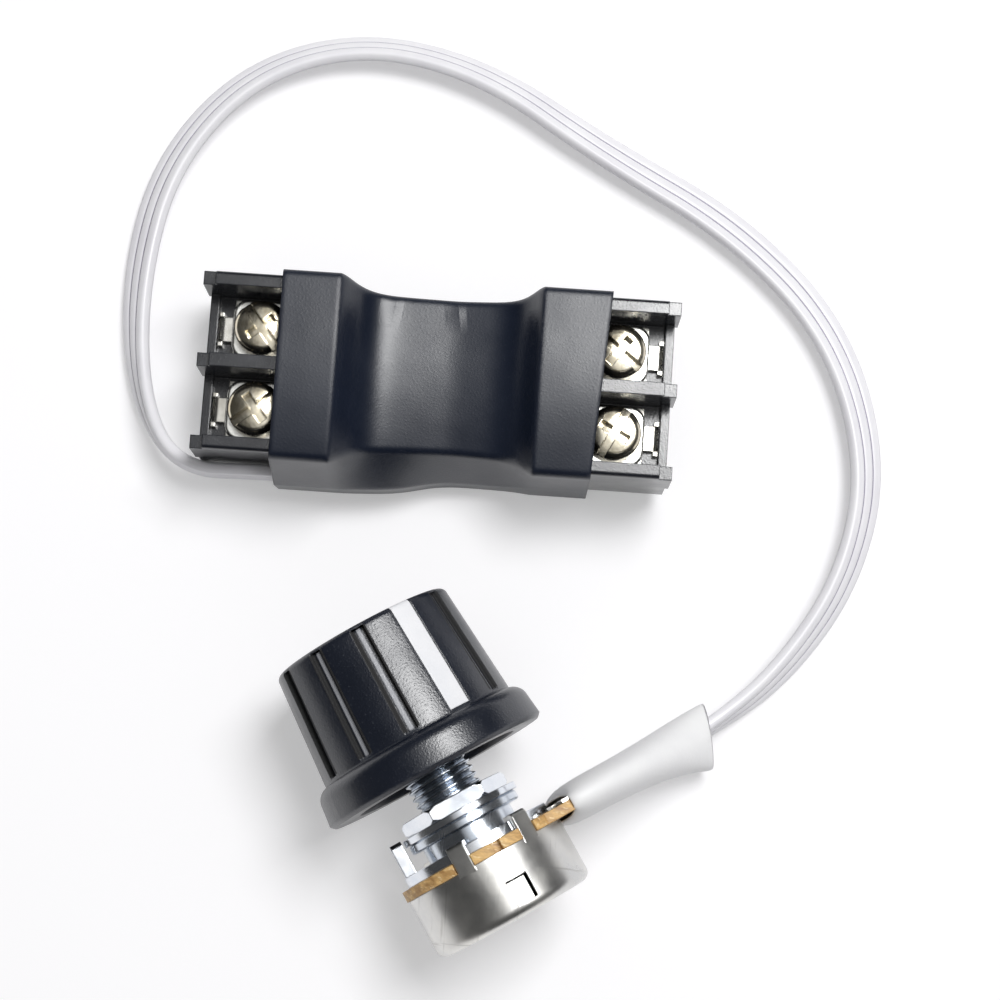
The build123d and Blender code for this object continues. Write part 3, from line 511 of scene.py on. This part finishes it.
# pressed paper board: streaks along the plate and pale fibres
phenolicLook = {
    "dark": (0.40, 0.21, 0.07),
    "light": (0.84, 0.55, 0.22),
    "fibre": (0.94, 0.74, 0.42),
    "heading": 58,
    "stretch": (0.25, 1.0, 0.8),
    "streakScale": 1500.0,
    "streakEdge": (0.35, 0.65),
    "fibreScale": 3600.0,
    "fibreEdge": (0.58, 0.7),
    "rough": (0.38, 0.6),
    "roughEdge": (0.3, 0.7),
    "rubScale": 900.0,
    "bump": 0.35,
    "bumpDepth": 0.00006,
}


def makePhenolic(values):
    finish, tree, shader, place = startFinish("phenolicTan")
    turn = addNode(tree, "ShaderNodeMapping")
    turn.inputs["Rotation"].default_value = (0.0, 0.0, radians(values["heading"]))
    turn.inputs["Scale"].default_value = values["stretch"]
    tree.links.new(place, turn.inputs["Vector"])
    streak = addNoise(tree, turn.outputs["Vector"], values["streakScale"], 6.0, 0.65)
    colour = addMix(tree, addRange(tree, streak, *values["streakEdge"]), values["dark"], values["light"])
    fibre = addNoise(tree, turn.outputs["Vector"], values["fibreScale"], 3.0, 0.6)
    colour = addMix(tree, addRange(tree, fibre, *values["fibreEdge"]), colour, values["fibre"])
    tree.links.new(colour, shader.inputs["Base Color"])
    rough = addRange(tree, streak, *values["roughEdge"], *values["rough"])
    tree.links.new(rough, shader.inputs["Roughness"])
    rub = useGroup(tree, edgeRub, place, Scale=values["rubScale"])
    normal = addBump(tree, streak, rub.outputs["Normal"], values["bump"], values["bumpDepth"])
    tree.links.new(normal, shader.inputs["Normal"])
    return finish


finishes["phenolicTan"] = makePhenolic(phenolicLook)
print("finishes:", len(finishes))

slotFinish = {
    "terminal_plastic": "terminalBlack", "black_shrink": "sleeveBlack", "white_shrink": "sleeveWhite",
    "screw_nickel": "screwNickel", "clamp_steel": "clampSteel", "contact_metal": "contactTin",
    "board_green": "boardGreen", "package_black": "packageBlack", "can_metal": "canMetal",
    "core_white": "coreWhite", "cable_white": "coreWhite", "phenolic": "phenolicTan", "carbon": "carbonTrack",
    "cup_tin": "cupTin", "zinc_plate": "zincPlate", "bushing_metal": "bushingMetal",
    "wiper_bronze": "wiperBronze", "rotor_plastic": "rotorBlack", "knob_black": "knobBlack",
    "pointer_white": "pointerWhite",
}
for part in frame["record"]["subparts"]:
    mesh = nodes[part["node"]].data
    finish = finishes[slotFinish[part["material_slot"]]]
    if mesh.materials:
        mesh.materials[0] = finish
    else:
        mesh.materials.append(finish)
print("nodes painted")


def addPiece(name, mesh, body, finish):
    piece = bpy.data.objects.new(name, mesh)
    scene.collection.objects.link(piece)
    mesh.materials.clear()
    mesh.materials.append(finish)
    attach(piece, body)
    return piece


# flat three-core cable, from the module's front to the control's tags
cableRun = {
    # control point in millimetres, and lean from upright in degrees
    "points": [
        ((-9.8, -9.98, 5.2), 0),
        ((-17.6, -9.98, 5.1), 0),
        ((-26.6, -10.2, 4.6), 0),
        ((-31.6, -2.4, 2.9), 26),
        ((-33.2, 10.2, 1.9), 46),
        ((-31.0, 23.3, 1.8), 50),
        ((-23.0, 33.8, 1.8), 48),
        ((-11.0, 38.2, 1.9), 42),
        ((2.5, 35.8, 1.9), 44),
        ((16.0, 27.6, 1.75), 56),
        ((30.5, 20.3, 1.6), 66),
        ((41.5, 9.8, 1.65), 62),
        ((46.2, -4.0, 1.8), 50),
        ((44.3, -16.5, 1.95), 38),
        ((37.8, -27.0, 2.1), 28),
        ((30.2, -33.5, 2.9), 10),
        ((25.4, -36.5, 4.7), 0),
    ],
    "width": 3.99,
    "thick": 1.25,
    "cores": 3,
    "pointsPerCore": 7,  # on each side of the outline
    "webShare": 0.62,  # of the thickness, between the cores
    "endShare": 0.55,  # of the web, at the two outer edges
    "endFrom": 0.9,
    "smoothness": 24,
}


def cableProfile(values):
    # one closed outline of three fused round cores, narrow at the webs
    curve = bpy.data.curves.new("cableProfile", "CURVE")
    curve.dimensions = "2D"
    cores = values["cores"]
    count = values["pointsPerCore"]
    pitch = values["width"] / cores * millimetre
    half = values["thick"] / 2 * millimetre
    web = half * values["webShare"]
    outline = []
    for side in (1, -1):
        for core in range(cores)[::side]:
            middle = pitch * (core + 0.5 - cores / 2)
            for step in range(count):
                turn = pi - pi * (step + 0.5) / count
                across = side * cos(turn)
                lobe = web + (half - web) * sin(turn) if 0 < step < count - 1 else web
                firstEdge = core == 0 and across < -values["endFrom"]
                lastEdge = core == cores - 1 and across > values["endFrom"]
                if firstEdge or lastEdge:
                    lobe *= values["endShare"]
                outline.append((middle + across * pitch / 2, side * lobe))
    spline = curve.splines.new("POLY")
    spline.points.add(len(outline) - 1)
    for point, (x, y) in zip(spline.points, outline):
        point.co = (y, x, 0, 1)
    spline.use_cyclic_u = True
    return bpy.data.objects.new("cableProfile", curve)


def makeCable(values):
    curve = bpy.data.curves.new("cableLine", "CURVE")
    curve.dimensions = "3D"
    curve.twist_mode = "Z_UP"
    curve.resolution_u = values["smoothness"]
    spline = curve.splines.new("NURBS")
    spline.points.add(len(values["points"]) - 1)
    for point, (place, lean) in zip(spline.points, values["points"]):
        point.co = (*(v * millimetre for v in place), 1.0)
        point.tilt = radians(lean)
    spline.order_u = 3
    spline.use_endpoint_u = True
    line = bpy.data.objects.new("cableLine", curve)
    scene.collection.objects.link(line)
    bpy.context.view_layer.update()
    path = [v.co.copy() for v in bpy.data.meshes.new_from_object(line).vertices]
    profile = cableProfile(values)
    scene.collection.objects.link(profile)
    curve.bevel_mode = "OBJECT"
    curve.bevel_object = profile
    curve.use_fill_caps = True
    bpy.context.view_layer.update()
    mesh = bpy.data.meshes.new_from_object(line.evaluated_get(bpy.context.evaluated_depsgraph_get()))
    bpy.data.objects.remove(line)
    bpy.data.objects.remove(profile)
    return mesh, path


def markGrooveShade(mesh, values):
    # 1 along the grooves between the cores, where shade is painted, 0 on the cores
    count = values["pointsPerCore"]
    lastCore = values["cores"] - 1
    shade = mesh.attributes.new("web", "FLOAT", "POINT")
    for vert in mesh.vertices:
        core, place = divmod(vert.index % (values["cores"] * count), count)
        groove = (place == count - 1 and core < lastCore) or (place == 0 and core > 0)
        shade.data[vert.index].value = float(groove)


cableLook = {
    "light": (0.92, 0.915, 0.94),
    "dark": (0.86, 0.85, 0.89),
    # painted shade between the cores
    "groove": (0.12, 0.09, 0.20),
    "grooveEdge": (0.2, 0.9),
    "rough": (0.30, 0.42),
    "toneScale": 160.0,
    "grainScale": 2600.0,
    "bump": 0.1,
    "bumpDepth": 0.00003,
}


def makeCableFinish(values):
    finish, tree, shader, place = startFinish("cableLilac")
    tone = useGroup(tree, unevenTone, place, Scale=values["toneScale"],
                    Low=plasticRules["toneLow"], High=plasticRules["toneHigh"])
    colour = addMix(tree, tone.outputs["Mask"], values["dark"], values["light"])
    web = addNode(tree, "ShaderNodeAttribute", attribute_name="web").outputs["Fac"]
    # painted shade along the grooves between the cores
    colour = addMix(tree, addRange(tree, web, *values["grooveEdge"]), colour, values["groove"])
    tree.links.new(colour, shader.inputs["Base Color"])
    rough = addRange(tree, tone.outputs["Mask"], 0.0, 1.0, *values["rough"])
    tree.links.new(rough, shader.inputs["Roughness"])
    grain = useGroup(tree, mouldGrain, place, Scale=values["grainScale"])
    normal = addBump(tree, grain.outputs["Height"], None, values["bump"], values["bumpDepth"])
    tree.links.new(normal, shader.inputs["Normal"])
    return finish


cableMesh, cablePath = makeCable(cableRun)
cableMesh.shade_smooth()
markGrooveShade(cableMesh, cableRun)
cable = addPiece("flatCable", cableMesh, "base", makeCableFinish(cableLook))
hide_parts("flat_cable")
cableLength = sum((b - a).length for a, b in zip(cablePath, cablePath[1:]))
print("cable length", round(cableLength, 4), "points", len(cablePath))


# white film shrunk over the control's tags: tight on the tongue, flattened the other way at the cable
tagFilm = {
    # along the tongue from the shaft, or a point; upright size, level size, how pointed the level edges are
    "rings": [
        (9.0, 13.0, 2.3, 0.6),
        (9.25, 13.5, 3.1, 0.7),
        (9.9, 13.9, 3.9, 0.8),
        (11.4, 13.9, 4.2, 0.85),
        (13.9, 13.0, 4.2, 0.9),
        ((22.4, -38.4, 7.4), 10.6, 4.4, 0.95),
        ((25.2, -36.7, 5.7), 8.0, 4.9, 1.0),
        ((27.8, -35.3, 4.1), 6.4, 5.8, 1.15),
        ((30.3, -34.1, 2.9), 5.0, 7.2, 1.3),
    ],
    "bodyRoll": 11.5,
    "depth": -4.0,
    "wall": 0.25,
    "segments": 48,
    "uprightPower": 0.75,  # how pointed the upright edges are
    "turnFrom": 3,  # the ring where the long side starts to turn upright, and over how many
    "turnOver": 3,
    "endHeading": (0.97, 0.2, -0.15),
}


def rounded(value, power):
    return abs(value) ** power * (1 if value > 0 else -1)


def filmHeadings(spots, values):
    headings = []
    for index in range(len(spots) - 1):
        headings.append((spots[index + 1] - spots[max(index - 1, 0)]).normalized())
    return headings + [Vector(values["endHeading"]).normalized()]


def makeTagFilm(values):
    turn = controlTurn @ Matrix.Rotation(radians(values["bodyRoll"]), 3, "Z")
    leave = turn @ Vector((-1, 0, 0))
    row = turn @ Vector((0, 1, 0))
    root = controlSeat + controlAxis * values["depth"]
    rings = values["rings"]
    spots = [root + leave * ring[0] if isinstance(ring[0], float) else Vector(ring[0]) for ring in rings]
    headings = filmHeadings(spots, values)
    bm = bmesh.new()
    edges = []
    for index, (_, tall, wide, power) in enumerate(rings):
        share = min(max((index - values["turnFrom"]) / values["turnOver"], 0.0), 1.0)
        upright = row.lerp(Vector((0, 0, 1)), share)
        upright = (upright - headings[index] * upright.dot(headings[index])).normalized()
        level = upright.cross(headings[index])
        made = bmesh.ops.create_circle(bm, segments=values["segments"], radius=1.0)
        for vert in made["verts"]:
            up = rounded(vert.co.x, values["uprightPower"]) * tall / 2
            out = rounded(vert.co.y, power) * wide / 2
            vert.co = (spots[index] + upright * up + level * out) * millimetre
        edges += {edge for vert in made["verts"] for edge in vert.link_edges}
    bmesh.ops.bridge_loops(bm, edges=edges)
    bmesh.ops.recalc_face_normals(bm, faces=bm.faces)
    mesh = bpy.data.meshes.new("tagFilm")
    bm.to_mesh(mesh)
    bm.free()
    mesh.shade_smooth()
    return mesh


film = addPiece("tagFilm", makeTagFilm(tagFilm), "base", finishes["sleeveWhite"])
wall = film.modifiers.new("wall", "SOLIDIFY")
wall.thickness = tagFilm["wall"] * millimetre
wall.offset = -1.0
smooth = film.modifiers.new("smooth", "SUBSURF")
smooth.levels = smooth.render_levels = 1
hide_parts("white_shrink_sleeve")
print("tag film shrunk")


# bushing with real thread turns; radii and heights in millimetres from the panel seat
bushingCut = {
    "bore": 3.05,
    "root": 3.06,
    "crest": 3.48,
    "crestHalf": 0.07,
    "pitch": 0.75,
    "flank": 0.44,  # half of the thread's foot, of its pitch
    "from": 0.35,
    "turns": 8.2,
    "length": 7.0,
    "tipChamfer": 0.25,
    "seat": 6.0,
    "seatChamfer": 0.2,
    "flangeBack": -1.0,
    "flangeChamfer": 0.15,
    "neck": 4.9,
    "seatBack": -2.6,
    "spigot": 4.5,
    "plateBack": -3.65,
    "footStep": 0.3,  # thicker foot of the core, at the seat
    "footTop": (0.25, 0.4),
    "cover": 0.02,  # the core covers the thread's foot by this
    "lip": 0.005,  # end face at the bore
    "segments": 64,
    "stepsPerTurn": 40,
    "weld": 1e-4,
    "sharp": 32,
}


def bushingOutline(values):
    core = values["root"] + values["cover"]
    seat, back = values["seat"], values["flangeBack"]
    foot = core + values["footStep"]
    return [
        (values["bore"], values["plateBack"]),
        (values["spigot"], values["plateBack"]),
        (values["spigot"], values["seatBack"]),
        (values["neck"], values["seatBack"]),
        (values["neck"], back),
        (seat - values["flangeChamfer"], back),
        (seat, back + values["flangeChamfer"]),
        (seat, -values["seatChamfer"]),
        (seat - values["seatChamfer"], 0.0),
        (foot, 0.0),
        (foot, values["footTop"][0]),
        (core, values["footTop"][1]),
        (core, values["length"] - values["tipChamfer"]),
        (values["bore"] + values["lip"], values["length"]),
        (values["bore"], values["plateBack"]),
    ]


def turnRow(bm, row, edges, turns, steps, rise, merge):
    # spin a row of points about Z, climbing by the rise at each step
    return bmesh.ops.spin(bm, geom=row + edges, cent=(0, 0, 0), axis=(0, 0, 1), dvec=(0, 0, rise),
                          angle=2 * pi * turns, steps=steps, use_merge=merge)


def cutThread(bm, values):
    half = values["pitch"] * values["flank"]
    crest, crestHalf = values["crest"], values["crestHalf"]
    ridge = [(values["root"], -half), (crest, -crestHalf), (crest, crestHalf), (values["root"], half)]
    row = [bm.verts.new((r, 0, z + values["from"] + half)) for r, z in ridge]
    loop = [bm.edges.new((a, b)) for a, b in zip(row, row[1:] + row[:1])]
    bm.faces.new(row)
    steps = int(values["turns"] * values["stepsPerTurn"])
    rise = values["pitch"] * values["turns"] / steps
    made = turnRow(bm, row, loop, values["turns"], steps, rise, False)
    lastEdges = [item for item in made["geom_last"] if isinstance(item, bmesh.types.BMEdge)]
    bmesh.ops.contextual_create(bm, geom=lastEdges)


def makeBushing(values):
    bm = bmesh.new()
    row = [bm.verts.new((r, 0, z)) for r, z in bushingOutline(values)]
    edges = [bm.edges.new((a, b)) for a, b in zip(row, row[1:])]
    turnRow(bm, row, edges, 1, values["segments"], 0, True)
    cutThread(bm, values)
    bmesh.ops.remove_doubles(bm, verts=bm.verts, dist=values["weld"])
    bmesh.ops.recalc_face_normals(bm, faces=bm.faces)
    bmesh.ops.transform(bm, matrix=controlSpace, verts=bm.verts)
    mesh = bpy.data.meshes.new("bushing")
    bm.to_mesh(mesh)
    bm.free()
    mesh.shade_smooth()
    mesh.set_sharp_from_angle(angle=radians(values["sharp"]))
    return mesh


bushing = addPiece("turnedBushing", makeBushing(bushingCut), "base",
                   finishes["bushingMetal"])
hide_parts("threaded_bushing")
print("bushing cut")


# stage: pale floor, one soft lamp, dim surroundings with a bright patch overhead for reflections
stageLook = {
    "floorColour": (0.74, 0.735, 0.75),
    "floorRough": 0.9,
    "floorGlow": 0.335,
    "floorSize": 3.0,
    "ambient": 0.32,
    "walls": 0.06,
    "glow": 0.95,
    "glowTowards": (0.20, 0.14, 0.97),
    "glowEdge": (0.86, 0.99),
    "lampAt": (0.13, 0.13, 0.46),
    "lampAim": (0.005, -0.015, 0.0),
    "lampSize": 0.20,
    "lampPower": 1.75,
}


def pathSwitch(tree):
    # 1 for what the camera, a reflection or glass sees
    light = addNode(tree, "ShaderNodeLightPath")
    seen = addMath(tree, "MAXIMUM", light.outputs["Is Camera Ray"], light.outputs["Is Glossy Ray"])
    return addMath(tree, "MAXIMUM", seen, light.outputs["Is Transmission Ray"])


def makeFloor(values):
    bm = bmesh.new()
    bmesh.ops.create_grid(bm, x_segments=1, y_segments=1, size=values["floorSize"])
    mesh = bpy.data.meshes.new("floor")
    bm.to_mesh(mesh)
    bm.free()
    floor = bpy.data.objects.new("floor", mesh)
    scene.collection.objects.link(floor)
    finish = bpy.data.materials.new("paleFloor")
    finish.use_nodes = True
    tree = finish.node_tree
    shader = tree.nodes["Principled BSDF"]
    shader.inputs["Base Color"].default_value = (*values["floorColour"], 1)
    shader.inputs["Roughness"].default_value = values["floorRough"]
    shader.inputs["Specular IOR Level"].default_value = 0.0
    shader.inputs["Emission Color"].default_value = (1, 1, 1, 1)
    glow = addMath(tree, "MULTIPLY", pathSwitch(tree), values["floorGlow"])
    tree.links.new(glow, shader.inputs["Emission Strength"])
    mesh.materials.append(finish)


def makeLight(values):
    lamp = bpy.data.lights.new("softLamp", "AREA")
    lamp.shape = "SQUARE"
    lamp.size = values["lampSize"]
    lamp.energy = values["lampPower"]
    holder = bpy.data.objects.new("softLamp", lamp)
    scene.collection.objects.link(holder)
    holder.location = values["lampAt"]
    aim = Vector(values["lampAim"]) - Vector(values["lampAt"])
    holder.rotation_euler = aim.to_track_quat("-Z", "Y").to_euler()


def makeSurroundings(values):
    world = bpy.data.worlds.new("studio")
    world.use_nodes = True
    tree = world.node_tree
    back = tree.nodes["Background"]
    back.inputs["Color"].default_value = (1, 1, 1, 1)
    way = addNode(tree, "ShaderNodeVectorMath", operation="DOT_PRODUCT")
    tree.links.new(addNode(tree, "ShaderNodeTexCoord").outputs["Generated"], way.inputs[0])
    way.inputs[1].default_value = Vector(values["glowTowards"]).normalized()
    sky = addRange(tree, way.outputs["Value"], *values["glowEdge"], values["walls"], values["glow"])
    strength = addRange(tree, pathSwitch(tree), 0.0, 1.0, values["ambient"], sky)
    tree.links.new(strength, back.inputs["Strength"])
    scene.world = world


makeFloor(stageLook)
makeLight(stageLook)
makeSurroundings(stageLook)
print("stage set")
